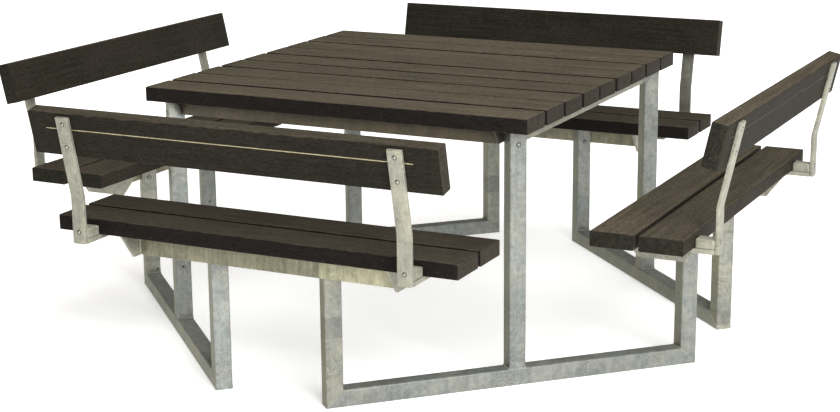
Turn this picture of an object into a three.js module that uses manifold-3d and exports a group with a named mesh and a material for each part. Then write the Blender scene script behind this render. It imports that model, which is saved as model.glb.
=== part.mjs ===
// Square picnic table with four benches: a planked top, four planked benches with backrests,
// and four welded square-tube leg frames that stand across the table's corners.
// Millimetres, +Z up. The origin is on the floor under the middle of the table top.
// The table's boards run along X. One bench faces each side of the table.
import * as THREE from "three";
import { mergeVertices } from "three/addons/utils/BufferGeometryUtils.js";
import Module from "manifold-3d";

const wasm = await Module();
wasm.setup();

// Driving dimensions
const TABLE_HEIGHT = 748;
const SEAT_HEIGHT = 470;
const CLEARANCE = 0.3; // between pieces that touch
const WELD_OVERLAP = 1; // how far the pieces of one weldment run into each other
const MERGE_DISTANCE = 1e-4; // vertices closer than this are one

// Planks: one section for the table top, the seats and the backrests
const PLANK_LENGTH = 1190;
const PLANK_WIDTH = 120;
const PLANK_THICKNESS = 42;
const PLANK_CHAMFER = 2.5;
const BOARD_GAPS = [17, 11, 17, 11, 18, 10, 15, 11]; // from the front board to the back one

// Leg frames, in square tube, at 45 degrees across each corner
const TUBE = 48;
const FRAME_OFFSET = 758; // from the table's axis to the middle of the frame
const FRAME_HALF = 539; // half the length of the floor rail
const SEAT_BOLT_HEIGHT = 366;
const TABLE_BOLT_DROP = 37; // below the top of the table leg

// Steelwork under the table top
const BAR = 8; // thickness of the flat bars
const TOP_BAR_HEIGHT = 38;
const BEARER_X = 497; // middle of the tapered cross bearers
const BEARER_HALF = 588;
const BEARER_TAPER = 0.7; // length of a sloped end over the bar's height
const APRON_Y = 562; // outer face of the long aprons
const SIDE_RAIL_X = 543.5;
const BRACKET_LENGTH = 50;
const BRACKET_SHIFT = 9; // from the leg's middle towards the side rail
const BRACKET_THICKNESS = 6;

// Benches, measured outwards from the table's axis
const SEAT_INNER_EDGE = 770;
const SEAT_GAP = 13;
const SEAT_PLATE_X = 398; // middle of the tapered plates under the seat
const SEAT_PLATE_HEIGHT = 70;
const SEAT_PLATE_MIDDLE = 900;
const SEAT_PLATE_TOP_HALF = 118;
const SEAT_PLATE_BOTTOM_HALF = 65;
const SEAT_FLANGE = 6; // thickness of the flange under the planks
const SEAT_FLANGE_HALF = 90;
const RAIL_OUTER_FACE = 938; // long rail that joins the plates and the two legs
const RAIL_DEPTH = 29;
const NOTCH_CLEARANCE = 0.6; // around the leg that passes through the rail

// Backrest and its cranked posts
const BACK_TILT = THREE.MathUtils.degToRad(12.5);
const BACK_TOP = new THREE.Vector2(1087, 783); // inner top edge: distance out, height
const POST_X = 482;
const POST_WIDTH = 40;
const POST_THICKNESS = 10;
const POST_FOOT = 415;
const POST_OUTER_FACE = 1087; // of the upright length
const POST_TOP_DROP = 8; // below the plank's top edge, along the plank
const POST_BOLTS = [27, 90.5]; // below the plank's top edge, along the plank
const POST_FOOT_BOLT = 32; // above the foot
const OUTRIGGER_HEIGHT = 39;
const OUTRIGGER_INNER_END = 800;
const STUB_GAP = 1; // between the outer seat plank and the raised end of the outrigger
const STRIP_LENGTH = 1070;
const STRIP_HEIGHT = 3;
const STRIP_DEPTH = 12;
const STRIP_DROP = 45; // below the plank's top edge

// Button-head bolts
const HEAD_RADIUS = 7;
const HEAD_HEIGHT = 4;
const HEAD_SIDES = 12;
const HEAD_RIM = 0.4; // height of the upright rim over the head's height
const HEAD_CROWN = 0.6; // radius of the flat crown over the head's radius
const HEAD_SEAT = 1; // how far a head is sunk into the steel that it is joined to

const seatUnderside = SEAT_HEIGHT - PLANK_THICKNESS;
const topUnderside = TABLE_HEIGHT - PLANK_THICKNESS;
const seatOuterEdge = SEAT_INNER_EDGE + 2 * PLANK_WIDTH + SEAT_GAP;
const seatLegOut = (FRAME_OFFSET + FRAME_HALF - TUBE / 2) * Math.SQRT1_2;
const seatLegSide = (FRAME_OFFSET - FRAME_HALF + TUBE / 2) * Math.SQRT1_2;

const plastic = { color: 0x3a352f, roughness: 0.75, metalness: 0 };
const steel = { color: 0xa8a693, roughness: 0.5, metalness: 0.8 };

function material(look) {
  return new THREE.MeshStandardMaterial(look);
}

function named(name, geometry, look) {
  const mesh = new THREE.Mesh(geometry, material(look));
  mesh.name = name;
  return mesh;
}

// Booleans
function toSolid(geometry) {
  const bare = new THREE.BufferGeometry();
  const flat = geometry.index ? geometry.toNonIndexed() : geometry;
  bare.setAttribute("position", flat.getAttribute("position"));
  const merged = mergeVertices(bare, MERGE_DISTANCE);
  return new wasm.Manifold(
    new wasm.Mesh({
      numProp: 3,
      vertProperties: merged.attributes.position.array,
      triVerts: new Uint32Array(merged.index.array),
    }),
  );
}

function toGeometry(solid) {
  const mesh = solid.getMesh();
  const geometry = new THREE.BufferGeometry();
  geometry.setAttribute("position", new THREE.BufferAttribute(mesh.vertProperties, 3));
  geometry.setIndex(new THREE.BufferAttribute(mesh.triVerts, 1));
  geometry.computeVertexNormals();
  return geometry;
}

function joined(first, ...others) {
  return toGeometry(others.reduce((sum, g) => sum.add(toSolid(g)), toSolid(first)));
}

function cut(body, ...tools) {
  return toGeometry(tools.reduce((left, g) => left.subtract(toSolid(g)), toSolid(body)));
}

// Shapes
function outline(points) {
  return new THREE.Shape(points.map(([x, y]) => new THREE.Vector2(x, y)));
}

// A box from its lowest to its highest corner.
function block(x0, x1, y0, y1, z0, z1) {
  const box = new THREE.BoxGeometry(x1 - x0, y1 - y0, z1 - z0);
  return box.translate((x0 + x1) / 2, (y0 + y1) / 2, (z0 + z1) / 2);
}

// An outline drawn in (Y, Z) and run along X from x0 to x1.
function alongX(points, x0, x1) {
  const solid = new THREE.ExtrudeGeometry(outline(points), { depth: x1 - x0, bevelEnabled: false });
  const turn = new THREE.Matrix4().makeBasis(
    new THREE.Vector3(0, 1, 0),
    new THREE.Vector3(0, 0, 1),
    new THREE.Vector3(1, 0, 0),
  );
  return solid.applyMatrix4(turn).translate(x0, 0, 0);
}

// A plank along X, its section centred on the origin, with chamfered long edges.
function plank() {
  const y = PLANK_WIDTH / 2;
  const z = PLANK_THICKNESS / 2;
  const c = PLANK_CHAMFER;
  const section = [
    [-y + c, -z], [y - c, -z], [y, -z + c], [y, z - c],
    [y - c, z], [-y + c, z], [-y, z - c], [-y, -z + c],
  ];
  return alongX(section, -PLANK_LENGTH / 2, PLANK_LENGTH / 2);
}

// A bolt head that stands out along +Z from the origin.
function boltHead() {
  const profile = [
    new THREE.Vector2(0, -HEAD_SEAT),
    new THREE.Vector2(HEAD_RADIUS, -HEAD_SEAT),
    new THREE.Vector2(HEAD_RADIUS, HEAD_HEIGHT * HEAD_RIM),
    new THREE.Vector2(HEAD_RADIUS * HEAD_CROWN, HEAD_HEIGHT),
    new THREE.Vector2(0, HEAD_HEIGHT),
  ];
  return new THREE.LatheGeometry(profile, HEAD_SIDES).rotateX(Math.PI / 2);
}

// Turns a bolt head from +Z to a direction and puts it at a place.
function headAt(place, direction) {
  const turn = new THREE.Quaternion().setFromUnitVectors(new THREE.Vector3(0, 0, 1), direction);
  return boltHead().applyQuaternion(turn).translate(place.x, place.y, place.z);
}

// Table top: boards from the front (-Y) to the back
function tableBoards() {
  const boards = [];
  const depth = (BOARD_GAPS.length + 1) * PLANK_WIDTH + BOARD_GAPS.reduce((a, b) => a + b, 0);
  let y = -depth / 2 + PLANK_WIDTH / 2;
  for (let i = 0; i <= BOARD_GAPS.length; i++) {
    const board = named(`table_board_${i + 1}`, plank(), plastic);
    board.position.set(0, y, TABLE_HEIGHT - PLANK_THICKNESS / 2);
    boards.push(board);
    y += PLANK_WIDTH + (BOARD_GAPS[i] ?? 0);
  }
  return boards;
}

// Cross bearer under the board ends: a flat bar on edge with tapered ends.
function tableBearer(side) {
  const top = topUnderside - CLEARANCE;
  const bottom = topUnderside - TOP_BAR_HEIGHT;
  const taper = TOP_BAR_HEIGHT * BEARER_TAPER;
  const shape = [
    [-BEARER_HALF, top],
    [-BEARER_HALF + taper, bottom],
    [BEARER_HALF - taper, bottom],
    [BEARER_HALF, top],
  ];
  const x = side * BEARER_X;
  return alongX(shape, x - BAR / 2, x + BAR / 2);
}

// Long apron between the two cross bearers.
function tableApron(side) {
  const reach = BEARER_X - BAR / 2 - CLEARANCE;
  const outer = side * APRON_Y;
  const inner = side * (APRON_Y - BAR);
  const bottom = topUnderside - TOP_BAR_HEIGHT;
  const top = topUnderside - CLEARANCE;
  return block(-reach, reach, Math.min(outer, inner), Math.max(outer, inner), bottom, top);
}

// Side rail between two table legs, with a bracket at 45 degrees behind each leg.
function tableSideRail(side) {
  const bottom = topUnderside - TOP_BAR_HEIGHT;
  const top = topUnderside - CLEARANCE;
  const legAxis = FRAME_OFFSET * Math.SQRT1_2;
  const half = legAxis - TUBE * Math.SQRT1_2 - CLEARANCE;
  const x0 = SIDE_RAIL_X - BAR / 2;
  const parts = [block(x0, x0 + BAR, -half, half, bottom, top)];
  const inset = FRAME_OFFSET - TUBE / 2 - CLEARANCE - BRACKET_THICKNESS / 2;
  for (const end of [-1, 1]) {
    const plate = new THREE.BoxGeometry(BRACKET_THICKNESS, BRACKET_LENGTH, top - bottom);
    plate.rotateZ((end * Math.PI) / 4);
    const x = (inset + BRACKET_SHIFT) * Math.SQRT1_2;
    const y = (inset - BRACKET_SHIFT) * Math.SQRT1_2;
    parts.push(plate.translate(x, end * y, (top + bottom) / 2));
  }
  const rail = joined(...parts);
  return side > 0 ? rail : rail.rotateZ(Math.PI);
}

// Leg frame: floor rail, two seat legs and a table leg, drawn for the corner on +X.
function legFrame() {
  const s = FRAME_HALF;
  const w = TUBE;
  const seatTop = seatUnderside - CLEARANCE;
  const tableTop = topUnderside - CLEARANCE;
  const comb = [
    [-s, 0], [s, 0], [s, seatTop], [s - w, seatTop],
    [s - w, w], [w / 2, w], [w / 2, tableTop], [-w / 2, tableTop],
    [-w / 2, w], [-s + w, w], [-s + w, seatTop], [-s, seatTop],
  ];
  const body = alongX(comb, FRAME_OFFSET - w / 2, FRAME_OFFSET + w / 2);
  const outwards = new THREE.Vector3(1, 0, 0);
  const heads = [
    headAt(new THREE.Vector3(FRAME_OFFSET + w / 2, 0, tableTop - TABLE_BOLT_DROP), outwards),
  ];
  for (const end of [-1, 1]) {
    const place = new THREE.Vector3(FRAME_OFFSET, end * (s - w), SEAT_BOLT_HEIGHT);
    heads.push(headAt(place, new THREE.Vector3(0, -end, 0)));
  }
  return joined(body, ...heads);
}

// Bench pieces, drawn for the bench on the -Y side, with X along the seat.
// out is the distance from the table's axis.
function seatPlank(out) {
  return plank().translate(0, -(out + PLANK_WIDTH / 2), SEAT_HEIGHT - PLANK_THICKNESS / 2);
}

// The tapered plate, its top flange and the outrigger that carries the post's foot.
function seatBearer(side) {
  const top = seatUnderside - CLEARANCE;
  const bottom = seatUnderside - SEAT_PLATE_HEIGHT;
  const middle = SEAT_PLATE_MIDDLE;
  const trapezium = [
    [-(middle + SEAT_PLATE_TOP_HALF), top],
    [-(middle + SEAT_PLATE_BOTTOM_HALF), bottom],
    [-(middle - SEAT_PLATE_BOTTOM_HALF), bottom],
    [-(middle - SEAT_PLATE_TOP_HALF), top],
  ];
  const plate = alongX(trapezium, SEAT_PLATE_X - BAR / 2, SEAT_PLATE_X + BAR / 2);
  const armInner = POST_X - POST_WIDTH / 2;
  const armOuter = POST_X + POST_WIDTH / 2;
  const postInnerFace = POST_OUTER_FACE - POST_THICKNESS - CLEARANCE;
  const flange = block(
    SEAT_PLATE_X, armInner + WELD_OVERLAP,
    -middle - SEAT_FLANGE_HALF, -middle + SEAT_FLANGE_HALF,
    top - SEAT_FLANGE, top,
  );
  const arm = block(armInner, armOuter, -postInnerFace, -OUTRIGGER_INNER_END, POST_FOOT, top);
  const stub = block(
    armInner, armOuter,
    -postInnerFace, -(seatOuterEdge + STUB_GAP),
    POST_FOOT, POST_FOOT + OUTRIGGER_HEIGHT,
  );
  const bearer = joined(plate, flange, arm, stub);
  return side > 0 ? bearer : mirrored(bearer);
}

// Mirrors a geometry in X and keeps its faces pointing out.
function mirrored(geometry) {
  const flipped = geometry.clone().scale(-1, 1, 1);
  const order = flipped.index.array;
  for (let i = 0; i < order.length; i += 3) {
    [order[i + 1], order[i + 2]] = [order[i + 2], order[i + 1]];
  }
  flipped.computeVertexNormals();
  return flipped;
}

// Long rail between the plates, notched at 45 degrees around the two seat legs.
function seatRail() {
  const reach = SEAT_PLATE_X - BAR / 2 - CLEARANCE;
  const bottom = seatUnderside - SEAT_PLATE_HEIGHT;
  const top = seatUnderside - CLEARANCE;
  const bar = block(-reach, reach, -RAIL_OUTER_FACE, -RAIL_OUTER_FACE + RAIL_DEPTH, bottom, top);
  const size = TUBE + 2 * NOTCH_CLEARANCE;
  const throughHeight = 4 * SEAT_PLATE_HEIGHT; // well past the rail's two edges
  const notches = [-1, 1].map((side) =>
    new THREE.BoxGeometry(size, size, throughHeight)
      .rotateZ(Math.PI / 4)
      .translate(side * seatLegSide, -seatLegOut, bottom),
  );
  return cut(bar, ...notches);
}

// A point of the backrest, drop along the plank from its top edge and depth out of its inner face,
// as (distance out, height).
function backPoint(drop, depth) {
  const down = new THREE.Vector2(-Math.sin(BACK_TILT), -Math.cos(BACK_TILT));
  const out = new THREE.Vector2(Math.cos(BACK_TILT), -Math.sin(BACK_TILT));
  return BACK_TOP.clone().addScaledVector(down, drop).addScaledVector(out, depth);
}

// Puts a solid that is drawn upright and centred onto a point of the tilted backrest.
function onBackrest(geometry, drop, depth) {
  const at = backPoint(drop, depth);
  return geometry.rotateX(BACK_TILT).translate(0, -at.x, at.y);
}

function backPlank() {
  const upright = plank().rotateX(Math.PI / 2);
  const grooveDepth = STRIP_DEPTH + CLEARANCE;
  const groove = new THREE.BoxGeometry(
    STRIP_LENGTH + 2 * CLEARANCE,
    2 * grooveDepth,
    STRIP_HEIGHT + 2 * CLEARANCE,
  ).translate(0, -PLANK_THICKNESS / 2, PLANK_WIDTH / 2 - STRIP_DROP);
  return onBackrest(cut(upright, groove), PLANK_WIDTH / 2, PLANK_THICKNESS / 2);
}

// Thin reinforcing strip let into the backrest's outer face.
function backStrip() {
  const strip = new THREE.BoxGeometry(STRIP_LENGTH, STRIP_DEPTH, STRIP_HEIGHT);
  return onBackrest(strip, STRIP_DROP, PLANK_THICKNESS - STRIP_DEPTH / 2);
}

// Cranked flat-bar post: upright from the foot, then leaning out along the backrest.
function backPost(side) {
  const t = POST_THICKNESS;
  const inner = PLANK_THICKNESS + CLEARANCE;
  const lean = Math.tan(BACK_TILT);
  const topOuter = backPoint(POST_TOP_DROP, inner + t);
  const topInner = backPoint(POST_TOP_DROP, inner);
  const bendOuter = topOuter.y - (topOuter.x - POST_OUTER_FACE) / lean;
  const bendInner = topInner.y - (topInner.x - (POST_OUTER_FACE - t)) / lean;
  const section = [
    [-(POST_OUTER_FACE - t), POST_FOOT],
    [-(POST_OUTER_FACE - t), bendInner],
    [-topInner.x, topInner.y],
    [-topOuter.x, topOuter.y],
    [-POST_OUTER_FACE, bendOuter],
    [-POST_OUTER_FACE, POST_FOOT],
  ];
  const x = side * POST_X;
  const bar = alongX(section, x - POST_WIDTH / 2, x + POST_WIDTH / 2);
  const leanOut = new THREE.Vector3(0, -Math.cos(BACK_TILT), -Math.sin(BACK_TILT));
  const heads = POST_BOLTS.map((drop) => {
    const at = backPoint(drop, inner + t);
    return headAt(new THREE.Vector3(x, -at.x, at.y), leanOut);
  });
  const foot = new THREE.Vector3(x, -POST_OUTER_FACE, POST_FOOT + POST_FOOT_BOLT);
  heads.push(headAt(foot, new THREE.Vector3(0, -1, 0)));
  return joined(bar, ...heads);
}

function bench(name) {
  const group = new THREE.Group();
  group.add(
    named(`${name}_seat_plank_inner`, seatPlank(SEAT_INNER_EDGE), plastic),
    named(`${name}_seat_plank_outer`, seatPlank(seatOuterEdge - PLANK_WIDTH), plastic),
    named(`${name}_back_plank`, backPlank(), plastic),
    named(`${name}_back_strip`, backStrip(), steel),
    named(`${name}_seat_rail`, seatRail(), steel),
  );
  for (const [end, side] of [["left", -1], ["right", 1]]) {
    group.add(named(`${name}_seat_bearer_${end}`, seatBearer(side), steel));
    group.add(named(`${name}_back_post_${end}`, backPost(side), steel));
  }
  return group;
}

const table = new THREE.Group();
table.add(...tableBoards());
for (const [name, side] of [["left", -1], ["right", 1]]) {
  table.add(named(`table_bearer_${name}`, tableBearer(side), steel));
  table.add(named(`table_side_rail_${name}`, tableSideRail(side), steel));
}
for (const [name, side] of [["front", -1], ["back", 1]]) {
  table.add(named(`table_apron_${name}`, tableApron(side), steel));
}

// The four benches and the four leg frames are turned about the table's axis.
const turns = { front: 0, right: 1, back: 2, left: 3 };
for (const [name, quarter] of Object.entries(turns)) {
  const seat = bench(`${name}_bench`);
  seat.rotation.z = (quarter * Math.PI) / 2;
  table.add(seat);
}
const corners = { front_right: -1, back_right: 1, back_left: 3, front_left: 5 };
for (const [name, eighth] of Object.entries(corners)) {
  const frame = named(`leg_frame_${name}`, legFrame(), steel);
  frame.rotation.z = (eighth * Math.PI) / 4;
  table.add(frame);
}

export default table;
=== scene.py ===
import math
import random

import bmesh
import bpy
from mathutils import Matrix, Vector, noise


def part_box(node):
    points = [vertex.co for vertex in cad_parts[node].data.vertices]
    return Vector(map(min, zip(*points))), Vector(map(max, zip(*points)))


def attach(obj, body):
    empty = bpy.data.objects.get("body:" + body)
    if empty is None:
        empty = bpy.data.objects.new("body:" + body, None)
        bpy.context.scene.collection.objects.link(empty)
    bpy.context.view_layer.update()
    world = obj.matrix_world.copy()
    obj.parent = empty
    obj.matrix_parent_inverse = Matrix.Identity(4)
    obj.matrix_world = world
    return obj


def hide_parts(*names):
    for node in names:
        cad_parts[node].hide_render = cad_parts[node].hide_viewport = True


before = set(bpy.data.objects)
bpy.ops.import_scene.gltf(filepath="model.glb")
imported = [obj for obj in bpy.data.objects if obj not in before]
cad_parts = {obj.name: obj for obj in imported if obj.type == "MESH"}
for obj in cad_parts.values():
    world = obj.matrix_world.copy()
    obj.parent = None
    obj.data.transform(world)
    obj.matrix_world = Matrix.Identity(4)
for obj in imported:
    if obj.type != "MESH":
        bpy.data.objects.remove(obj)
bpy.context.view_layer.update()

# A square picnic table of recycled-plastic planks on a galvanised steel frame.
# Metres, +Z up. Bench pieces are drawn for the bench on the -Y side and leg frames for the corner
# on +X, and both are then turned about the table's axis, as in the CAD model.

MM = 0.001

# Sizes that the frame's boxes don't give
PLANK_LENGTH = 1190 * MM
PLANK_WIDTH = 120 * MM
PLANK_THICKNESS = 42 * MM
PLANK_ROUND = 3.2 * MM
PLANK_END_ROUND = 1.4 * MM
PLANK_STEPS = 36  # stations along a plank
END_SKEW = 0.006  # how far a saw cut may be out of square, per width
BOW_UP_SHARE = 0.4  # a plank's bow upwards over its bow sideways
TUBE = 48 * MM
TUBE_ROUND = 5 * MM
BAR = 8 * MM
CLEARANCE = 0.3 * MM
BAR_ROUND = 1.2 * MM
FRAME_OFFSET = 758 * MM
FRAME_HALF = 539 * MM
BACK_TILT = math.radians(12.5)
BACK_TOP = Vector((1087 * MM, 783 * MM))  # inner top edge of a backrest: distance out, height
POST_THICKNESS = 10 * MM
POST_OUTER_FACE = 1087 * MM
POST_TOP_DROP = 8 * MM
POST_BEND_RADIUS = 90 * MM
POST_BOLTS = (27 * MM, 90.5 * MM)  # below the backrest's top edge, along the plank
POST_FOOT_BOLT = 32 * MM
POST_FOOT_ROUND = 5 * MM
POST_TOP_ROUND = 1.2 * MM
STRIP_DROP = 45 * MM
STRIP_LENGTH = 1070 * MM
STRIP_HEIGHT = 3 * MM
STRIP_SUNK = 1.6 * MM  # the strip lies this far inside its groove
GROOVE_WIDTH = 4.2 * MM
GROOVE_DEPTH = 3.5 * MM
STRIP_SHIFT = -11 * MM  # the strip isn't quite centred on its plank
SEAT_BOLT_HEIGHT = 366 * MM
TABLE_BOLT_DROP = 37 * MM
FLAT_ARM = 12.7 * MM  # thickness of the outrigger's flat bar
FLANGE = 6 * MM
SEAT_PLATE_MIDDLE = 900 * MM
SEAT_PLATE_HALVES = (118 * MM, 65 * MM)  # half lengths of the tapered plate, top and bottom
FLANGE_HALF = 90 * MM
BEARER_TAPER = 0.7  # length of a sloped end over the bar's height
SIDE_RAIL_MIDDLE = 543.5 * MM
BRACKET_LENGTH = 50 * MM
BRACKET_SHIFT = 9 * MM
BRACKET_THICKNESS = 6 * MM
ARM_INNER_END = 800 * MM
STUB_ROUND = 4 * MM
STRIP_DEPTH = 6 * MM
BOARD_BOW = 1.8 * MM  # how far a plank may be out of straight
SEAT_BOW = 0.9 * MM
CORNER_WELD = 2.6 * MM  # radii of the weld beads
LEG_WELD = 2.8 * MM
LEG_FACE_WELD = 1.3 * MM
FLUSH_WELD = 0.9 * MM
PLATE_WELD = 2.2 * MM
RAIL_ROUND = 2.5 * MM
POST_EDGE_ROUND = 1.5 * MM
HEAD_RADIUS = 4.8 * MM
HEAD_HEIGHT = 3.2 * MM
VENT_RADIUS = 3.4 * MM  # small holes drilled in three of the tubes
VENT_HEIGHT = 208 * MM
LOW_VENT_HEIGHT = 61 * MM
LOW_VENT_SHIFT = 14 * MM  # from the middle of the tube's wall

BENCHES = {"front": 0, "right": 1, "back": 2, "left": 3}  # quarter turns
CORNERS = {"front_right": -1, "back_right": 1, "back_left": 3, "front_left": 5}  # eighth turns

# How light each part is: painted light and shade, set per piece to the camera's one angle, so that
# copies of one piece differ. How light each part is: tuned to the photo from its own angle, which
# can't tell wear from light
BACKREST_PAINTED_SHADE = {"front": 0.58, "right": 0.90, "back": 0.64, "left": 0.92}
SEAT_PAINTED_TOP_LIGHT = {"front": 0.32, "right": 0.85, "back": 0.45, "left": 0.5}  # tuned the same way
FRAME_PAINTED_LIGHT = {"front_right": 0.91, "back_right": 1.04, "back_left": 0.98, "front_left": 1.18}
POST_PAINTED_SHADE = {"front": 1.0, "right": 1.0, "back": 0.5, "left": 1.0}


# ---------------------------------------------------------------- mesh code

class Part:
    """Closed shell: points, faces, and each point's place in the piece's own frame for its material."""

    def __init__(self, points, faces, local=None, material=0):
        self.points = [Vector(p) for p in points]
        self.faces = faces
        self.local = [Vector(p) for p in (local or points)]
        self.material = material

    def moved(self, matrix):
        self.points = [matrix @ p for p in self.points]
        return self


def make_piece(name, parts, materials, turn=Matrix(), seed=0.0, tone=1.0, shade=1.0, smooth_angle=32):
    """Joins parts into one object and stores what the materials read: local place and numbers."""
    points, faces, local, material = [], [], [], []
    for part in parts:
        start = len(points)
        points += [turn @ p for p in part.points]
        faces += [[start + i for i in face] for face in part.faces]
        local += part.local
        material += [part.material] * len(part.faces)
    mesh = bpy.data.meshes.new(name)
    mesh.from_pydata(points, [], faces)
    mesh.polygons.foreach_set("material_index", material)
    place = mesh.attributes.new("local", "FLOAT_VECTOR", "POINT")
    place.data.foreach_set("vector", [c for p in local for c in p])
    for label, value in (("seed", seed), ("tone", tone), ("shade", shade)):
        number = mesh.attributes.new(label, "FLOAT", "POINT")
        number.data.foreach_set("value", [value] * len(points))
    shell = bmesh.new()
    shell.from_mesh(mesh)
    bmesh.ops.recalc_face_normals(shell, faces=shell.faces)
    shell.to_mesh(mesh)
    shell.free()
    mesh.shade_smooth()
    mesh.set_sharp_from_angle(angle=math.radians(smooth_angle))
    for material_used in materials:
        mesh.materials.append(material_used)
    piece = bpy.data.objects.new(name, mesh)
    bpy.context.scene.collection.objects.link(piece)
    return piece


def swept(rings, local_rings=None, material=0):
    """A closed shell through rings that all have the same number of points."""
    count = len(rings[0])
    points = [p for ring in rings for p in ring]
    local = [p for ring in (local_rings or rings) for p in ring]
    faces = []
    for i in range(len(rings) - 1):
        for j in range(count):
            k = (j + 1) % count
            faces.append([i * count + j, i * count + k, (i + 1) * count + k, (i + 1) * count + j])
    faces.append(list(range(count))[::-1])
    faces.append([(len(rings) - 1) * count + j for j in range(count)])
    return Part(points, faces, local, material)


def rounded_rectangle(width, height, radius, arc_steps=4, side_steps=1):
    """Points of a rectangle with round corners, centred on the origin."""
    points = []
    corners = ((1, 1, 0), (-1, 1, 90), (-1, -1, 180), (1, -1, 270))
    for index, (sx, sy, start) in enumerate(corners):
        centre = Vector((sx * (width / 2 - radius), sy * (height / 2 - radius)))
        for step in range(arc_steps + 1):
            angle = math.radians(start + 90 * step / arc_steps)
            points.append(centre + radius * Vector((math.cos(angle), math.sin(angle))))
        after = corners[(index + 1) % 4]
        angle = math.radians(after[2])
        target = Vector((after[0] * (width / 2 - radius), after[1] * (height / 2 - radius)))
        target += radius * Vector((math.cos(angle), math.sin(angle)))
        last = points[-1].copy()
        for step in range(1, side_steps):
            points.append(last.lerp(target, step / side_steps))
    return points


def with_groove(section, middle, face):
    """The section with a slot cut into its upper face, each point paired with its depth."""
    half = GROOVE_WIDTH / 2
    slot = [(middle + half, 0), (middle + half - 0.1 * MM, GROOVE_DEPTH),
            (middle - half + 0.1 * MM, GROOVE_DEPTH), (middle - half, 0)]
    on_face = [i for i, (p, _) in enumerate(section) if abs(p.y - face) < 1e-6]
    clear = [i for i in on_face if abs(section[i][0].x - middle) > 2 * half]
    before = max(i for i in clear if section[i][0].x > middle)
    after = min(i for i in clear if section[i][0].x < middle)
    cut = [(Vector((x, face)), depth) for x, depth in slot]
    return section[:before + 1] + cut + section[after:]


def plank(length, width=PLANK_WIDTH, thickness=PLANK_THICKNESS, seed=0, bow=1 * MM, groove=None):
    """A plank along X, centred on the origin, with softened edges and a slight bow, wave and cup.

    groove is (place across the upper face, first end, last end) of a slot for the strip.
    """
    chance = random.Random(seed)
    section = [(p, 0.0) for p in rounded_rectangle(width, thickness, PLANK_ROUND, 4, 8)]
    if groove:
        section = with_groove(section, groove[0], thickness / 2)
    bow_across = chance.uniform(-bow, bow)
    bow_up = chance.uniform(-BOW_UP_SHARE, BOW_UP_SHARE) * bow
    skew = [chance.uniform(-END_SKEW, END_SKEW) for _ in range(2)]
    half = length / 2
    soften = PLANK_END_ROUND
    stations = [(-half, soften), (-half + 0.3 * soften, 0.3 * soften), (-half + soften, 0)]
    for step in range(1, PLANK_STEPS):
        stations.append((-half + length * step / PLANK_STEPS, 0))
    if groove:
        for edge in groove[1:]:
            stations += [(edge - 0.3 * MM, 0), (edge + 0.3 * MM, 0)]
    stations += [(half - soften, 0), (half - 0.3 * soften, 0.3 * soften), (half, soften)]
    rings, local_rings = [], []
    for along, inset in sorted(stations):
        share = along / half
        sunk = bool(groove) and groove[1] < along < groove[2]
        ring, local_ring = [], []
        for p, depth in section:
            across = p.x * (1 - 2 * inset / width)
            up = p.y * (1 - 2 * inset / thickness) - depth * sunk
            cut = skew[0 if along < 0 else 1] * across * abs(share) ** 8
            wave = noise.noise(Vector((along * 9 + seed, across * 14, up * 20)))
            ring.append(Vector((
                along + cut,
                across * (1 + 0.0025 * wave) + bow_across * (1 - share * share),
                up * (1 + 0.012 * wave) + bow_up * (1 - share * share),
            )))
            local_ring.append(Vector((along, across, up)))
        rings.append(ring)
        local_rings.append(local_ring)
    return swept(rings, local_rings)


def bar(outline, x0, x1, radius=BAR_ROUND, segments=3, material=0):
    """An outline in (Y, Z) run along X, with every edge rounded."""
    shell = bmesh.new()
    low = [shell.verts.new((x0, y, z)) for y, z in outline]
    face = shell.faces.new(low)
    grown = bmesh.ops.extrude_face_region(shell, geom=[face])
    top = [v for v in grown["geom"] if isinstance(v, bmesh.types.BMVert)]
    bmesh.ops.translate(shell, verts=top, vec=(x1 - x0, 0, 0))
    bmesh.ops.recalc_face_normals(shell, faces=shell.faces)
    bmesh.ops.bevel(shell, geom=list(shell.edges), offset=radius, segments=segments,
                    profile=0.5, affect="EDGES", clamp_overlap=True)
    shell.verts.index_update()
    part = Part([v.co.copy() for v in shell.verts],
                [[v.index for v in f.verts] for f in shell.faces], material=material)
    shell.free()
    return part


def block(x0, x1, y0, y1, z0, z1, radius=BAR_ROUND, segments=3):
    return bar([(y0, z0), (y1, z0), (y1, z1), (y0, z1)], x0, x1, radius, segments)


def tube(start, end, side, start_plane=None, end_plane=None, size=TUBE, radius=TUBE_ROUND):
    """Square tube between two points, each end cut square or along a plane's normal."""
    start, end, side = Vector(start), Vector(end), Vector(side)
    axis = (end - start).normalized()
    up = axis.cross(side)
    section = rounded_rectangle(size, size, radius, 5, 3)
    edge = 0.7 * MM
    ends = ((start, Vector(start_plane or axis), axis), (end, Vector(end_plane or axis), -axis))

    def ring(place, normal, inset, back):
        points = []
        for p in section:
            q = p * (1 - 2 * inset / size)
            base = place + side * q.x + up * q.y
            reach = -(base - place).dot(normal) / axis.dot(normal)
            points.append(base + axis * reach + back)
        return points

    place, normal, inward = ends[0]
    rings = [ring(place, normal, edge, inward * 0), ring(place, normal, 0, inward * edge)]
    length = (end - start).length
    steps = max(2, int(length / 0.05))
    for step in range(1, steps):
        middle = start.lerp(end, step / steps)
        near = min(step, steps - step) * length / steps
        if near > size:
            rings.append(ring(middle, axis, 0, axis * 0))
    place, normal, inward = ends[1]
    rings += [ring(place, normal, 0, inward * edge), ring(place, normal, edge, inward * 0)]
    return swept(rings)


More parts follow.
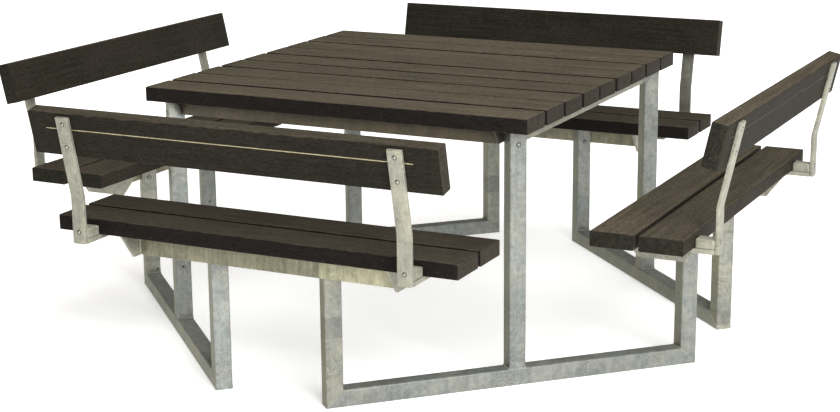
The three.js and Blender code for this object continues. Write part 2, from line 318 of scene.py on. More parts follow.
def weld(points, radius, seed, material=1):
    """A rippled weld bead along a line of points, half sunk into what it joins."""
    chance = random.Random(seed)
    rings = []
    total = 0.0
    sides = 8
    ripple = 4.2 * MM
    phase = chance.uniform(0, 6)
    for start, end in zip(points, points[1:]):
        start, end = Vector(start), Vector(end)
        length = (end - start).length
        axis = (end - start).normalized()
        helper = Vector((0, 0, 1)) if abs(axis.z) < 0.8 else Vector((1, 0, 0))
        u = axis.cross(helper).normalized()
        v = axis.cross(u)
        steps = max(6, int(length / (1.2 * MM)))
        for step in range(steps + 1):
            travelled = total + length * step / steps
            swell = 1 + 0.14 * math.sin(2 * math.pi * travelled / ripple + phase)
            swell *= 1 + 0.25 * noise.noise(Vector((travelled * 90, seed, 0)))
            fade = min(1, 0.35 + 0.65 * min(step, steps - step) / 3)
            place = start.lerp(end, step / steps)
            rings.append([
                place + radius * swell * fade * (
                    u * math.cos(2 * math.pi * k / sides) + v * math.sin(2 * math.pi * k / sides)
                )
                for k in range(sides)
            ])
        total += length
    return swept(rings, material=material)


def bolt_head(place, direction, spin, head=0, shade_and_grime=1):
    """A button head with a hexagon socket, on a thin dark ring: painted shadow of the gap round the
    head, with grime.
    """
    sides = 24

    def ring(radius, height, hexagon=0.0):
        points = []
        for k in range(sides):
            angle = 2 * math.pi * k / sides
            flat = math.cos(math.pi / 6) / math.cos((angle % (math.pi / 3)) - math.pi / 6)
            reach = radius * (1 + hexagon * (flat - 1))
            points.append(Vector((reach * math.cos(angle), reach * math.sin(angle), height)))
        return points

    r, h = HEAD_RADIUS, HEAD_HEIGHT
    head_rings = [ring(r, -0.5 * MM), ring(r, 0.25 * h)]
    for step in range(1, 6):
        share = step / 6
        head_rings.append(ring(r * (1 - 0.36 * share ** 1.6), h * (0.25 + 0.75 * share ** 0.7)))
    head_rings += [ring(0.56 * r, h, 1), ring(0.52 * r, 0.96 * h, 1), ring(0.5 * r, 0.3 * h, 1)]
    turn = Vector((0, 0, 1)).rotation_difference(Vector(direction)).to_matrix().to_4x4()
    to_place = Matrix.Translation(Vector(place)) @ turn @ Matrix.Rotation(spin, 4, "Z")
    top = swept(head_rings, material=head).moved(to_place)
    under = swept([ring(1.36 * r, -0.3 * MM), ring(1.36 * r, 0.1 * MM), ring(1.28 * r, 0.22 * MM)],
                  material=shade_and_grime).moved(to_place)
    return [top, under]


def vent_hole(place, direction):
    """A small drilled hole in a tube's wall, drawn as a dark disc of painted shade."""
    sides = 16
    circle = [Vector((math.cos(2 * math.pi * k / sides), math.sin(2 * math.pi * k / sides), 0))
              for k in range(sides)]
    heights = (-0.5 * MM, 0.05 * MM)
    rings = [[VENT_RADIUS * p + Vector((0, 0, height)) for p in circle] for height in heights]
    turn = Vector((0, 0, 1)).rotation_difference(Vector(direction)).to_matrix().to_4x4()
    return swept(rings, material=1).moved(Matrix.Translation(Vector(place)) @ turn)


# ---------------------------------------------------------------- materials

class Graph:
    """A material's node tree, with short calls for the nodes used here."""

    def __init__(self, name):
        self.material = bpy.data.materials.new(name)
        self.material.use_nodes = True
        self.tree = self.material.node_tree
        self.tree.nodes.clear()
        self.local = self.node("ShaderNodeAttribute", attribute_name="local").outputs["Vector"]
        self.seed = self.node("ShaderNodeAttribute", attribute_name="seed").outputs["Fac"]
        self.tone = self.node("ShaderNodeAttribute", attribute_name="tone").outputs["Fac"]
        self.shade = self.node("ShaderNodeAttribute", attribute_name="shade").outputs["Fac"]

    def node(self, kind, inputs=None, **settings):
        made = self.tree.nodes.new(kind)
        for key, value in settings.items():
            setattr(made, key, value)
        for key, value in (inputs or {}).items():
            self.feed(made.inputs[key], value)
        return made

    def feed(self, socket, value):
        if isinstance(value, bpy.types.NodeSocket):
            self.tree.links.new(value, socket)
        else:
            socket.default_value = value

    def math(self, operation, a, b=0.0):
        return self.node("ShaderNodeMath", {0: a, 1: b}, operation=operation).outputs[0]

    def vector(self, operation, a, b):
        made = self.node("ShaderNodeVectorMath", {0: a, 1: b}, operation=operation)
        return made.outputs[0]

    def split(self, vector):
        return self.node("ShaderNodeSeparateXYZ", {0: vector}).outputs

    def step(self, value, low, high):
        """0 below low, 1 above high, smooth between."""
        inputs = {"Value": value, "From Min": low, "From Max": high}
        return self.node("ShaderNodeMapRange", inputs, interpolation_type="SMOOTHSTEP").outputs[0]

    def remap(self, value, low, high, to_low, to_high):
        inputs = {"Value": value, "From Min": low, "From Max": high,
                  "To Min": to_low, "To Max": to_high}
        return self.node("ShaderNodeMapRange", inputs).outputs[0]

    def noise(self, vector, scale, detail=3.0, roughness=0.55, distortion=0.0):
        inputs = {"Vector": vector, "Scale": scale, "Detail": detail,
                  "Roughness": roughness, "Distortion": distortion}
        return self.node("ShaderNodeTexNoise", inputs).outputs[0]

    def mix(self, factor, a, b, blend="MIX"):
        made = self.node("ShaderNodeMix", data_type="RGBA", blend_type=blend)
        for socket, value in zip((made.inputs[0], made.inputs[6], made.inputs[7]), (factor, a, b)):
            self.feed(socket, value)
        return made.outputs[2]

    def toned(self, colour, tone):
        """The colour times a number."""
        grey = self.node("ShaderNodeCombineXYZ", {0: tone, 1: tone, 2: tone}).outputs[0]
        return self.mix(1.0, colour, grey, "MULTIPLY")

    def shifted(self, vector):
        """The vector moved by the piece's own seed, so that no two pieces share a pattern."""
        offset = self.node("ShaderNodeCombineXYZ", {
            0: self.math("MULTIPLY", self.seed, 7.13),
            1: self.math("MULTIPLY", self.seed, 3.71),
            2: self.math("MULTIPLY", self.seed, 5.39),
        }).outputs[0]
        return self.vector("ADD", vector, offset)

    def piece_chance(self):
        """A number from 0 to 1 that belongs to the piece."""
        made = self.node("ShaderNodeTexWhiteNoise", {"W": self.seed}, noise_dimensions="1D")
        return made.outputs["Value"]

    def finish(self, colour, roughness, height, bump_distance,
               metallic=0.0, specular=0.5, glow=0.0):
        bump_inputs = {"Height": height, "Distance": bump_distance, "Strength": 1.0}
        bump = self.node("ShaderNodeBump", bump_inputs)
        inputs = {"Base Color": colour, "Roughness": roughness, "Metallic": metallic,
                  "Specular IOR Level": specular, "Normal": bump.outputs[0],
                  "Emission Color": rgb(1, 1, 1), "Emission Strength": glow}
        shader = self.node("ShaderNodeBsdfPrincipled", inputs)
        output = self.node("ShaderNodeOutputMaterial")
        self.tree.links.new(shader.outputs[0], output.inputs[0])
        return self.material


def rgb(red, green, blue):
    return (red, green, blue, 1.0)


def plank_material(name, end_dark, end_light, side_dark, side_light):
    """Recycled plastic: drawn lengthwise grain, cloudy tone, painted shade on the narrow sides, painted
    top light, speckled saw-cut ends.
    """
    g = Graph(name)
    place = g.shifted(g.local)
    along, across, up = g.split(g.local)
    grain = g.noise(g.vector("MULTIPLY", place, (5, 120, 120)), 1.0, 6, 0.62)
    hair = g.noise(g.vector("MULTIPLY", place, (26, 700, 700)), 1.0, 3, 0.6)
    cloud = g.noise(place, 6.5, 4, 0.55, 0.4)
    pores = g.noise(place, 520, 3, 0.6)
    mottle = g.noise(g.vector("MULTIPLY", place, (70, 190, 190)), 1.0, 5, 0.7, 0.3)
    colour = g.mix(g.step(grain, 0.3, 0.72), rgb(0.0155, 0.0140, 0.0103), rgb(0.0285, 0.0255, 0.0180))
    colour = g.mix(g.step(cloud, 0.35, 0.75), colour, rgb(0.0290, 0.0245, 0.0185))
    tone = g.math("MULTIPLY", g.remap(g.piece_chance(), 0, 1, 0.84, 1.14), g.shade)
    # painted shade on the narrow sides, darker and a little purple; the copy for the left and right
    # benches paints them lighter
    side = g.step(g.math("ABSOLUTE", across), PLANK_WIDTH / 2 - 2.5 * MM, PLANK_WIDTH / 2 - 0.4 * MM)
    painted_side_tone = g.mix(g.step(pores, 0.35, 0.7), side_dark, side_light)
    colour = g.mix(side, colour, painted_side_tone)
    # painted top light and sheen: what faces up is lighter, by as much as each piece's tone sets
    facing = g.split(g.node("ShaderNodeNewGeometry").outputs["Normal"])[2]
    painted_top_light = g.math("MULTIPLY", g.step(facing, 0.35, 0.95), g.remap(cloud, 0.3, 0.7, 0.8, 1.0))
    painted_top_light = g.math("MULTIPLY", painted_top_light, g.tone)
    colour = g.mix(painted_top_light, colour, g.mix(g.step(grain, 0.35, 0.7), rgb(0.061, 0.051, 0.0345),
                                           rgb(0.100, 0.084, 0.0590)))
    tone = g.math("MULTIPLY", tone, g.remap(hair, 0.2, 0.8, 0.82, 1.18))
    tone = g.math("MULTIPLY", tone, g.remap(mottle, 0.3, 0.7, 0.52, 1.48))
    colour = g.toned(colour, tone)
    # saw-cut ends
    half = PLANK_LENGTH / 2
    end = g.step(g.math("ABSOLUTE", along), half - 1.1 * MM, half - 0.2 * MM)
    end_colour = g.mix(g.step(g.noise(place, 90, 5, 0.65), 0.35, 0.65), end_dark, end_light)
    colour = g.mix(end, colour, end_colour)
    # pale flecks of other plastic, mostly on the cut ends
    fleck = g.node("ShaderNodeTexVoronoi", {"Vector": place, "Scale": 300.0})
    pick = g.split(fleck.outputs["Color"])[0]
    small = g.math("SUBTRACT", 1.0, g.step(fleck.outputs["Distance"], 0.14, 0.24))
    rare = g.step(pick, 0.965, 0.975)
    common = g.step(pick, 0.86, 0.88)
    chosen = g.mix(end, rare, common)
    speck = g.math("MULTIPLY", small, g.split(chosen)[0])
    colour = g.mix(g.math("MULTIPLY", speck, 0.5), colour, rgb(0.30, 0.28, 0.24))
    # rubbed corners
    corner = g.math("MULTIPLY", g.step(g.math("ABSOLUTE", across), PLANK_WIDTH / 2 - 3.5 * MM,
                           PLANK_WIDTH / 2 - 1 * MM),
                    g.step(g.math("ABSOLUTE", up), PLANK_THICKNESS / 2 - 3 * MM,
                           PLANK_THICKNESS / 2 - 1 * MM))
    rub = g.math("MULTIPLY", corner, g.step(g.noise(place, 26, 4, 0.6), 0.42, 0.66))
    colour = g.mix(g.math("MULTIPLY", rub, 0.6), colour, rgb(0.085, 0.068, 0.050))
    roughness = g.remap(g.math("ADD", grain, cloud), 0.6, 1.4, 0.60, 0.76)
    height = g.math("ADD", g.math("MULTIPLY", grain, 0.7), g.math("MULTIPLY", hair, 0.35))
    height = g.math("ADD", height, g.math("MULTIPLY", pores, 0.3))
    return g.finish(colour, roughness, height, 0.6 * MM, specular=0.06)


def steel_material(name, cool, warm, stain, spangle=0.5, bands=0.0, metallic=0.35, rough=(0.42, 0.62),
                   lighter_beyond=None, streaks=(0.87, 1.12), painted_shade_side=False):
    """Hot-dip zinc: cloudy spangle, runs that hang down, faint brown stains."""
    g = Graph(name)
    place = g.shifted(g.local)
    world = g.node("ShaderNodeTexCoord").outputs["Object"]
    bent = g.vector("ADD", place, g.vector("MULTIPLY", g.node(
        "ShaderNodeTexNoise", {"Vector": place, "Scale": 55.0, "Detail": 3.0}).outputs["Color"],
        (0.012, 0.012, 0.012)))
    crystals = g.node("ShaderNodeTexVoronoi", {"Vector": bent, "Scale": 85.0})
    crystal = g.split(crystals.outputs["Color"])[0]
    cloud = g.noise(place, 13, 5, 0.6, 0.3)
    patch = g.noise(place, 38, 4, 0.6, 0.8)
    runs = g.noise(g.vector("MULTIPLY", g.shifted(world), (95, 95, 8)), 1.0, 4, 0.6)
    fine = g.noise(place, 300, 3, 0.6)
    colour = g.mix(g.step(cloud, 0.36, 0.66), cool, warm)
    mottled = g.math("ADD", g.math("MULTIPLY", crystal, spangle), patch)
    tone = g.remap(mottled, 0.3, 0.7 + spangle, 0.75, 1.24)
    tone = g.math("MULTIPLY", tone, g.remap(runs, 0.25, 0.75, *streaks))
    tone = g.math("MULTIPLY", tone, g.remap(fine, 0.2, 0.8, 0.80, 1.20))
    tone = g.math("MULTIPLY", tone, g.tone)
    crack = g.node("ShaderNodeTexVoronoi", {"Vector": bent, "Scale": 120.0}, feature="DISTANCE_TO_EDGE")
    line = g.math("SUBTRACT", 1.0, g.step(crack.outputs["Distance"], 0.02, 0.09))
    crackled = g.step(g.noise(place, 5.5, 2, 0.5), 0.53, 0.60)
    tone = g.math("MULTIPLY", tone, g.remap(g.math("MULTIPLY", line, crackled), 0, 1, 1.0, 0.68))
    if lighter_beyond is not None:
        lighter = g.step(g.split(g.local)[0], lighter_beyond - 1 * MM, lighter_beyond + 1 * MM)
        tone = g.math("MULTIPLY", tone, g.remap(lighter, 0, 1, 1.0, 1.58))
    if bands:
        height_only = g.node("ShaderNodeCombineXYZ", {
            0: g.math("MULTIPLY", g.seed, 4.7),
            2: g.math("MULTIPLY", g.split(world)[2], 7.0),
        }).outputs[0]
        band = g.step(g.noise(height_only, 1.6, 2, 0.5), 0.53, 0.56)
        tone = g.math("MULTIPLY", tone, g.remap(band, 0, 1, 1.0, 1.0 - bands))
    colour = g.toned(colour, tone)
    if painted_shade_side:
        # painted shade: an olive tint on the faces turned one way, set below, tuned to how dark those
        # faces are in shade
        normal = g.node("ShaderNodeNewGeometry").outputs["Normal"]
        toward = g.node("ShaderNodeVectorMath", {0: normal, 1: PAINTED_SHADE_FACING}, operation="DOT_PRODUCT")
        painted_shade_tint = g.mix(g.step(toward.outputs["Value"], 0.75, 0.95), rgb(1, 1, 1), rgb(0.84, 0.82, 0.65))
        colour = g.mix(1.0, colour, painted_shade_tint, "MULTIPLY")
    spots = g.step(g.noise(place, 24, 6, 0.72, 1.2), 0.62, 0.74)
    colour = g.mix(g.math("MULTIPLY", spots, 0.45), colour, stain)
    roughness = g.remap(g.math("ADD", crystal, patch), 0.3, 1.5, rough[0], rough[1])
    height = g.math("ADD", g.math("MULTIPLY", patch, 0.6), g.math("MULTIPLY", runs, 0.35))
    height = g.math("ADD", height, g.math("MULTIPLY", fine, 0.12))
    return g.finish(colour, roughness, height, 0.35 * MM, metallic)


STAIN = rgb(0.13, 0.105, 0.065)
PAINTED_SHADE_FACING = (-math.sqrt(0.5), -math.sqrt(0.5), 0.0)  # the way that the faces with painted shade look
plastic = plank_material("recycled_plastic", rgb(0.0265, 0.0225, 0.0175), rgb(0.0440, 0.0370, 0.0285),
                         rgb(0.0077, 0.0062, 0.0058), rgb(0.0146, 0.0120, 0.0104))
# a copy for the left and right benches: darker saw-cut ends, and narrow sides in painted light
plastic_painted_lit_sides = plank_material("recycled_plastic_painted_lit_sides",
                            rgb(0.0115, 0.0115, 0.0082), rgb(0.0225, 0.0205, 0.0150),
                            rgb(0.0240, 0.0195, 0.0145), rgb(0.0390, 0.0320, 0.0235))
tube_zinc = steel_material("galvanised_tube", rgb(0.212, 0.229, 0.219), rgb(0.262, 0.267, 0.236), STAIN,
                           spangle=0.6, painted_shade_side=True)
leg_zinc = steel_material("galvanised_seat_leg", rgb(0.238, 0.248, 0.222), rgb(0.296, 0.292, 0.236),
                          STAIN, spangle=0.6, bands=0.22, painted_shade_side=True)
bar_zinc = steel_material("galvanised_bar", rgb(0.256, 0.255, 0.211), rgb(0.310, 0.304, 0.239),
                          STAIN, spangle=0.4)
rail_zinc = steel_material("galvanised_rail", rgb(0.205, 0.198, 0.132), rgb(0.275, 0.262, 0.180), STAIN,
                           spangle=0.4, lighter_beyond=0.160, streaks=(0.68, 1.26))
# painted shade: the galvanised aprons under the top are made dark and brown, as in shade
apron_zinc_painted_shade = steel_material("apron_zinc_painted_shade", rgb(0.050, 0.040, 0.022), rgb(0.078, 0.061, 0.035),
                            rgb(0.05, 0.04, 0.025), spangle=0.2, metallic=0.15)
# painted shade: the galvanised bearers, in shade under the top, are painted near black-brown
bearer_zinc_painted_shade = steel_material("bearer_zinc_painted_shade", rgb(0.018, 0.013, 0.008), rgb(0.032, 0.024, 0.015),
                             rgb(0.02, 0.014, 0.009), spangle=0.2, metallic=0.1)
weld_zinc = steel_material("zinc_weld", rgb(0.30, 0.305, 0.27), rgb(0.39, 0.39, 0.34),
                           STAIN, spangle=0.1)
bolt_zinc = steel_material("bolt_zinc", rgb(0.30, 0.30, 0.26), rgb(0.38, 0.37, 0.32), STAIN,
                           spangle=0.1, metallic=0.7, rough=(0.3, 0.45))
strip_zinc = steel_material("strip_zinc", rgb(0.46, 0.415, 0.25), rgb(0.56, 0.505, 0.32),
                            STAIN, spangle=0.1)
# painted shade: a darker copy of the strip for the left and right benches
strip_painted_shade = steel_material("strip_painted_shade", rgb(0.10, 0.085, 0.055), rgb(0.17, 0.145, 0.095),
                             STAIN, spangle=0.1)
# painted shadow with grime: the dark ring round each bolt head, and the vent holes
shade_and_grime = steel_material("bolt_shade_and_grime", rgb(0.008, 0.007, 0.006), rgb(0.02, 0.017, 0.013),
                       rgb(0.012, 0.008, 0.005), metallic=0.0, rough=(0.7, 0.9))


# ---------------------------------------------------------------- pieces

def settle(piece, slot_name, *nodes):
    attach(piece, "root")
    if nodes:
        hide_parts(*nodes)
    return piece


def centre_of(node):
    low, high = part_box(node)
    return (low + high) / 2


def table_boards():
    for number in range(1, 10):
        node = f"table_board_{number}"
        low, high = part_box(node)
        chance = random.Random(100 + number)
        shift = Vector((chance.uniform(-0.9, 0.9) * MM, 0, 0))
        board = plank(high.x - low.x, seed=number, bow=BOARD_BOW)
        board.moved(Matrix.Translation(centre_of(node) + shift))
        piece = make_piece(f"board_{number}", [board], [plastic], seed=number * 1.37)
        settle(piece, "plank", node)


def table_bars():
    for number, side in enumerate(("left", "right")):
        low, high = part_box(f"table_bearer_{side}")
        taper = (high.z - low.z) * BEARER_TAPER
        outline = [(low.y, high.z), (low.y + taper, low.z), (high.y - taper, low.z), (high.y, high.z)]
        shape = bar(outline, low.x, high.x)
        piece = make_piece(f"bearer_{side}", [shape], [bearer_zinc_painted_shade], seed=11 + number)
        settle(piece, "galvanised", f"table_bearer_{side}")
    for number, side in enumerate(("front", "back")):
        low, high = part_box(f"table_apron_{side}")
        piece = make_piece(f"apron_{side}", [block(low.x, high.x, low.y, high.y, low.z, high.z)],
                           [apron_zinc_painted_shade], seed=15 + number)
        settle(piece, "galvanised", f"table_apron_{side}")
    for number, (side, sign) in enumerate((("left", -1), ("right", 1))):
        low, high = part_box(f"table_side_rail_{side}")
        leg = FRAME_OFFSET * math.sqrt(0.5)
        half = leg - TUBE * math.sqrt(0.5) - CLEARANCE
        face = SIDE_RAIL_MIDDLE - BAR / 2
        parts = [block(face, face + BAR, -half, half, low.z, high.z)]
        inset = FRAME_OFFSET - TUBE / 2 - CLEARANCE - BRACKET_THICKNESS / 2
        reach = BRACKET_LENGTH / 2
        for end in (-1, 1):
            plate = block(-BRACKET_THICKNESS / 2, BRACKET_THICKNESS / 2, -reach, reach, low.z, high.z)
            turn = Matrix.Rotation(end * math.pi / 4, 4, "Z")
            place = Vector((inset + BRACKET_SHIFT, end * (inset - BRACKET_SHIFT), 0)) * math.sqrt(0.5)
            parts.append(plate.moved(Matrix.Translation(place) @ turn))
        turn = Matrix.Rotation(0 if sign > 0 else math.pi, 4, "Z")
        piece = make_piece(f"side_rail_{side}", parts, [bar_zinc], turn, seed=19 + number)
        settle(piece, "galvanised", f"table_side_rail_{side}")


def leg_frame(corner, eighth, number):
    node = f"leg_frame_{corner}"
    turn = Matrix.Rotation(eighth * math.pi / 4, 4, "Z")
    table_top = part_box(node)[1].z
    seat_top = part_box("front_bench_seat_rail")[1].z
    x, s, w = FRAME_OFFSET, FRAME_HALF, TUBE
    outwards = Vector((1, 0, 0))
    middle = s - w / 2
    tubes = [
        tube((x, -middle, w / 2), (x, middle, w / 2), outwards, (0, 1, -1), (0, 1, 1)),
        tube((x, -middle, w / 2), (x, -middle, seat_top), outwards, (0, -1, 1)),
        tube((x, middle, w / 2), (x, middle, seat_top), outwards, (0, 1, 1)),
        tube((x, 0, w), (x, 0, table_top), outwards),
    ]
    tubes[1].material = 1  # one seat leg of each frame took the zinc less evenly
    piece = make_piece(f"tubes_{corner}", tubes, [tube_zinc, leg_zinc], turn, seed=31 + 3.3 * number,
                       tone=FRAME_PAINTED_LIGHT[corner])
    settle(piece, "galvanised", node)
    beads = []
    face = w / 2
    for end in (-1, 1):
        inner = end * (s - w)
        beads.append(weld([(x - face, inner, w), (x + face, inner, w)], CORNER_WELD,
                          40 + number * 9 + end, 0))
        beads.append(weld([(x - face, end * w / 2, w), (x + face, end * w / 2, w)], LEG_WELD,
                          44 + number * 9 + end, 0))
        for out in (-1, 1):
            at = x + out * face
            beads.append(weld([(at, end * s, 1 * MM), (at, inner, w)], FLUSH_WELD,
                              50 + number * 9 + 3 * end + out, 0))
    for out in (-1, 1):
        at = x + out * face
        beads.append(weld([(at, -w / 2, w), (at, w / 2, w)], LEG_FACE_WELD, 70 + number * 9 + out, 0))
    piece = make_piece(f"welds_{corner}", beads, [weld_zinc], turn, seed=51 + number)
    settle(piece, "galvanised")
    heads = bolt_head((x + face, 0, table_top - TABLE_BOLT_DROP), outwards, 0.3 + number)
    for end in (-1, 1):
        heads += bolt_head((x, end * (s - w), SEAT_BOLT_HEIGHT), (0, -end, 0), 1.1 * number + end)
    if corner == "front_left":
        heads.append(vent_hole((x, face, VENT_HEIGHT), (0, 1, 0)))
        heads.append(vent_hole((x - LOW_VENT_SHIFT, w - s, LOW_VENT_HEIGHT), (0, 1, 0)))
    if corner == "back_left":
        heads.append(vent_hole((x - face, s - face, VENT_HEIGHT), (-1, 0, 0)))
    piece = make_piece(f"bolts_{corner}", heads, [bolt_zinc, shade_and_grime], turn, seed=61 + number)
    settle(piece, "galvanised")


def back_point(drop, depth):
    """(distance out, height) at a drop along the backrest and a depth out of its inner face."""
    down = Vector((-math.sin(BACK_TILT), -math.cos(BACK_TILT)))
    out = Vector((math.cos(BACK_TILT), -math.sin(BACK_TILT)))
    return BACK_TOP + down * drop + out * depth


def on_backrest(part, drop, depth):
    at = back_point(drop, depth)
    return part.moved(Matrix.Translation((0, -at.x, at.y)) @ Matrix.Rotation(BACK_TILT, 4, "X"))


def bench_planks(name, turn, number):
    planks_of = [plastic_painted_lit_sides if name in ("left", "right") else plastic]
    for index, which in enumerate(("inner", "outer")):
        node = f"front_bench_seat_plank_{which}"
        low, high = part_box(node)
        made = plank(high.x - low.x, seed=200 + 10 * number + index, bow=SEAT_BOW)
        made.moved(Matrix.Translation(centre_of(node)))
        piece = make_piece(f"{name}_seat_{which}", [made], planks_of, turn,
                           seed=2.1 * number + index + 21, tone=SEAT_PAINTED_TOP_LIGHT[name])
        settle(piece, "plank", f"{name}_bench_seat_plank_{which}")
    low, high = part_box("front_bench_back_plank")
    slot = (PLANK_WIDTH / 2 - STRIP_DROP, STRIP_SHIFT - STRIP_LENGTH / 2 - 1 * MM,
            STRIP_SHIFT + STRIP_LENGTH / 2 + 1 * MM)
    made = plank(high.x - low.x, seed=300 + number, bow=0, groove=slot)
    made.moved(Matrix.Rotation(math.pi / 2, 4, "X"))
    on_backrest(made, PLANK_WIDTH / 2, PLANK_THICKNESS / 2)
    # the backrest's tone sets the painted top light on its upper edge, and its shade the painted shade
    # over it all
    piece = make_piece(f"{name}_backrest", [made], planks_of, turn, seed=2.7 * number + 77,
                       tone=1.2, shade=BACKREST_PAINTED_SHADE[name])
    settle(piece, "plank", f"{name}_bench_back_plank")
    depth = STRIP_DEPTH / 2
    strip = block(-STRIP_LENGTH / 2, STRIP_LENGTH / 2, -depth, depth,
                  -STRIP_HEIGHT / 2, STRIP_HEIGHT / 2, 0.5 * MM, 2)
    strip.moved(Matrix.Translation((STRIP_SHIFT, 0, 0)))
    on_backrest(strip, STRIP_DROP, PLANK_THICKNESS - depth - STRIP_SUNK)
    strip_of = [strip_painted_shade if name in ("left", "right") else strip_zinc]
    piece = make_piece(f"{name}_strip", [strip], strip_of, turn, seed=5 + number)
    settle(piece, "strip", f"{name}_bench_back_strip")


def bench_steel(name, turn, number):
    low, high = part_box("front_bench_seat_rail")
    rail = block(low.x, high.x, low.y, high.y, low.z, high.z, RAIL_ROUND)
    piece = make_piece(f"{name}_rail", [rail], [rail_zinc], turn, seed=81 + number)
    settle(piece, "galvanised", f"{name}_bench_seat_rail")
    for index, (end, sign) in enumerate((("left", -1), ("right", 1))):
        low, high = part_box("front_bench_seat_bearer_right")
        post_low, post_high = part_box("front_bench_back_post_right")
        rail_low, rail_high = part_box("front_bench_seat_rail")
        top = rail_high.z
        plate_x = low.x + BAR / 2
        wide, narrow = SEAT_PLATE_HALVES
        m = SEAT_PLATE_MIDDLE
        outline = [(-m - wide, top), (-m - narrow, low.z), (-m + narrow, low.z), (-m + wide, top)]
        stub_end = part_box("front_bench_seat_plank_outer")[0].y - 1 * MM
        arm_top = post_low.z + FLAT_ARM
        parts = [
            bar(outline, low.x, low.x + BAR),
            block(plate_x, post_low.x + 1 * MM, -m - FLANGE_HALF, -m + FLANGE_HALF, top - FLANGE, top),
            block(post_low.x, post_high.x, low.y, -ARM_INNER_END, post_low.z, arm_top),
            block(post_low.x, post_high.x, low.y, stub_end, arm_top, high.z, STUB_ROUND, 4),
        ]
        mirror = Matrix.Scale(sign, 4, (1, 0, 0))
        beads = [
            weld([(rail_high.x, rail_low.y, rail_low.z), (rail_high.x, rail_low.y, rail_high.z)],
                 PLATE_WELD, 90 + index, 1),
            weld([(post_low.x, stub_end, arm_top), (post_low.x, low.y, arm_top)],
                 FLUSH_WELD, 95 + index, 0),
            weld([(post_high.x, stub_end, arm_top), (post_high.x, low.y, arm_top)],
                 FLUSH_WELD, 97 + index, 0),
        ]
        shapes = [p.moved(mirror) for p in parts + beads]
        piece = make_piece(f"{name}_bearer_{end}", shapes, [bar_zinc, weld_zinc], turn,
                           seed=91 + 2 * number + index)
        settle(piece, "galvanised", f"{name}_bench_seat_bearer_{end}")
        bench_post(name, turn, number, index, end, sign)


def bench_post(name, turn, number, index, end, sign):
    """Cranked flat bar with rounded corners and a smooth bend, with its three bolts."""
    post_low, post_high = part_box("front_bench_back_post_right")
    x = sign * (post_low.x + post_high.x) / 2
    width = post_high.x - post_low.x
    t = POST_THICKNESS
    inner = PLANK_THICKNESS + CLEARANCE
    upright = POST_OUTER_FACE - t / 2
    depth = inner + t / 2
    bend_drop = (BACK_TOP.x + math.cos(BACK_TILT) * depth - upright) / math.sin(BACK_TILT)
    bend = back_point(bend_drop, depth)
    top = back_point(POST_TOP_DROP, depth)
    trim = POST_BEND_RADIUS * math.tan(BACK_TILT / 2)
    line = []  # (distance out, height, tilt) along the middle of the bar

    def straight(a, b, tilt, steps):
        for step in range(steps + 1):
            p = a.lerp(b, step / steps)
            line.append((p.x, p.y, tilt))

    foot = Vector((upright, post_low.z))
    lean = Vector((math.sin(BACK_TILT), math.cos(BACK_TILT)))
    straight(foot, Vector((upright, bend.y - trim)), 0, 24)
    for step in range(1, 8):
        angle = BACK_TILT * step / 8
        line.append((upright + POST_BEND_RADIUS * (1 - math.cos(angle)),
                     bend.y - trim + POST_BEND_RADIUS * math.sin(angle), angle))
    straight(bend + lean * trim, top, BACK_TILT, 30)
    lengths = [0.0]
    for a, b in zip(line, line[1:]):
        lengths.append(lengths[-1] + math.hypot(b[0] - a[0], b[1] - a[1]))
    fine = [0.0, 0.3 * MM, 0.8 * MM, 1.5 * MM, 2.2 * MM, 3.4 * MM, POST_FOOT_ROUND]
    stations = sorted(set(fine + [lengths[-1] - f for f in fine] + lengths[2:-2]))

    def at(distance):
        for i in range(1, len(lengths)):
            if distance <= lengths[i] + 1e-9:
                share = (distance - lengths[i - 1]) / (lengths[i] - lengths[i - 1])
                return [line[i - 1][k] + share * (line[i][k] - line[i - 1][k]) for k in range(3)]
        return line[-1]

    rings = []
    for s in stations:
        shrink = 0.0
        for gone, radius in ((s, POST_FOOT_ROUND), (lengths[-1] - s, POST_TOP_ROUND)):
            if gone < radius:
                shrink = radius - math.sqrt(radius * radius - (radius - gone) ** 2)
        edge = 0.6 * MM * max(0, 1 - min(s, lengths[-1] - s) / MM)
        out, height, tilt = at(s)
        section = rounded_rectangle(width - 2 * shrink, t - 2 * edge, POST_EDGE_ROUND, 3, 2)
        normal = Vector((0, -math.cos(tilt), -math.sin(tilt)))
        rings.append([Vector((x + p.x, -out, height)) + normal * p.y for p in section])
    piece = make_piece(f"{name}_post_{end}", [swept(rings)], [bar_zinc], turn,
                       seed=111 + 2 * number + index, tone=POST_PAINTED_SHADE[name])
    settle(piece, "galvanised", f"{name}_bench_back_post_{end}")
    leaning = Vector((0, -math.cos(BACK_TILT), -math.sin(BACK_TILT)))
    heads = []
    for count, drop in enumerate(POST_BOLTS):
        place = back_point(drop, inner + t)
        heads += bolt_head((x, -place.x, place.y), leaning, count + index)
    heads += bolt_head((x, -POST_OUTER_FACE, post_low.z + POST_FOOT_BOLT), (0, -1, 0), 0.4 + index)
    piece = make_piece(f"{name}_bolts_{end}", heads, [bolt_zinc, shade_and_grime], turn, seed=121 + number)
    settle(piece, "galvanised")


# ---------------------------------------------------------------- stage

FLOOR_REACH = 30.0
CAMERA_PLACE = (2.3438, -4.7578, 1.6537)  # fitted to the photo, as are its angles and its lens
CAMERA_YAW = math.radians(-26.343)
CAMERA_PITCH = math.radians(14.124)
CAMERA_ROLL = math.radians(-0.521)
CAMERA_LENS = 76.084


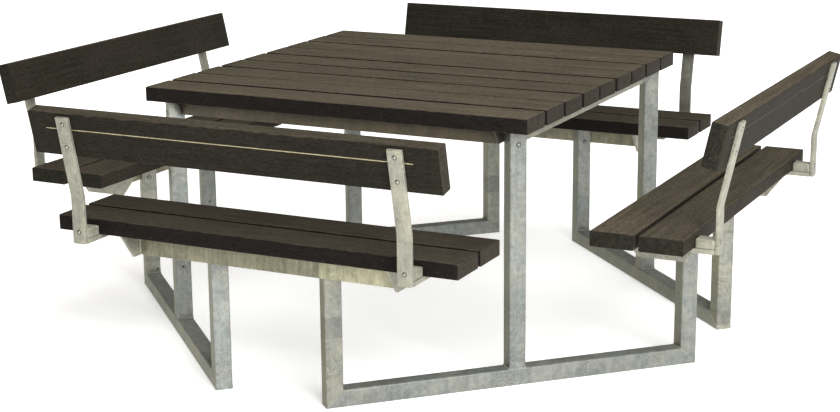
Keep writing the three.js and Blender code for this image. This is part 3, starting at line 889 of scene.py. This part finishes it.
def floor():
    mesh = bpy.data.meshes.new("floor")
    corners = [(-FLOOR_REACH, -FLOOR_REACH, 0), (FLOOR_REACH, -FLOOR_REACH, 0),
               (FLOOR_REACH, FLOOR_REACH, 0), (-FLOOR_REACH, FLOOR_REACH, 0)]
    mesh.from_pydata(corners, [], [(0, 1, 2, 3)])
    made = bpy.data.objects.new("floor", mesh)
    bpy.context.scene.collection.objects.link(made)
    g = Graph("pale_floor")
    world = g.node("ShaderNodeTexCoord").outputs["Object"]
    cloud = g.noise(world, 0.6, 3)
    distance = g.node("ShaderNodeVectorMath", {0: world}, operation="LENGTH").outputs["Value"]
    glow = g.remap(g.step(distance, 1.7, 4.5), 0, 1, 0.47, 1.0)  # painted light: the floor glows, more away from the table, washing out its shadows; white right out to the horizon
    mesh.materials.append(g.finish(g.mix(cloud, rgb(0.90, 0.90, 0.895), rgb(0.93, 0.93, 0.925)), 0.9,
                                   cloud, 0.1 * MM, specular=0.1, glow=glow))


def area_light(name, place, aim, size, power, colour=(1, 1, 1)):
    data = bpy.data.lights.new(name, "AREA")
    data.shape = "DISK"
    data.size = size
    data.energy = power
    data.color = colour
    light = bpy.data.objects.new(name, data)
    light.location = place
    light.rotation_euler = (Vector(aim) - Vector(place)).to_track_quat("-Z", "Y").to_euler()
    bpy.context.scene.collection.objects.link(light)


def studio():
    world = bpy.data.worlds.new("studio")
    bpy.context.scene.world = world
    world.use_nodes = True
    world.node_tree.nodes["Background"].inputs["Color"].default_value = rgb(1.0, 0.91, 0.70)
    world.node_tree.nodes["Background"].inputs["Strength"].default_value = 0.16
    area_light("key", (4.8, -4.8, 3.8), (0, 0, 0.4), 4.4, 660, (1.0, 1.0, 1.0))
    area_light("overhead", (-0.3, 1.0, 6.0), (0, 0, 0), 9.0, 350)


def camera():
    yaw, pitch, roll = CAMERA_YAW, CAMERA_PITCH, CAMERA_ROLL
    ahead = Vector((math.sin(yaw) * math.cos(pitch), math.cos(yaw) * math.cos(pitch), -math.sin(pitch)))
    level = Vector((math.cos(yaw), -math.sin(yaw), 0))
    raised = level.cross(ahead)
    right = level * math.cos(roll) + raised * math.sin(roll)
    up = raised * math.cos(roll) - level * math.sin(roll)
    data = bpy.data.cameras.new("camera")
    data.sensor_width = 36
    data.lens = CAMERA_LENS
    data.clip_end = 200
    made = bpy.data.objects.new("camera", data)
    axes = Matrix((right, up, -ahead)).transposed().to_4x4()
    made.matrix_world = Matrix.Translation(CAMERA_PLACE) @ axes
    bpy.context.scene.collection.objects.link(made)
    bpy.context.scene.camera = made


camera()
floor()
studio()
bpy.context.scene.view_settings.view_transform = "Standard"

table_boards()
table_bars()
for number, (corner, eighth) in enumerate(CORNERS.items()):
    leg_frame(corner, eighth, number)
for number, (name, quarter) in enumerate(BENCHES.items()):
    turn = Matrix.Rotation(quarter * math.pi / 2, 4, "Z")
    bench_planks(name, turn, number)
    bench_steel(name, turn, number)
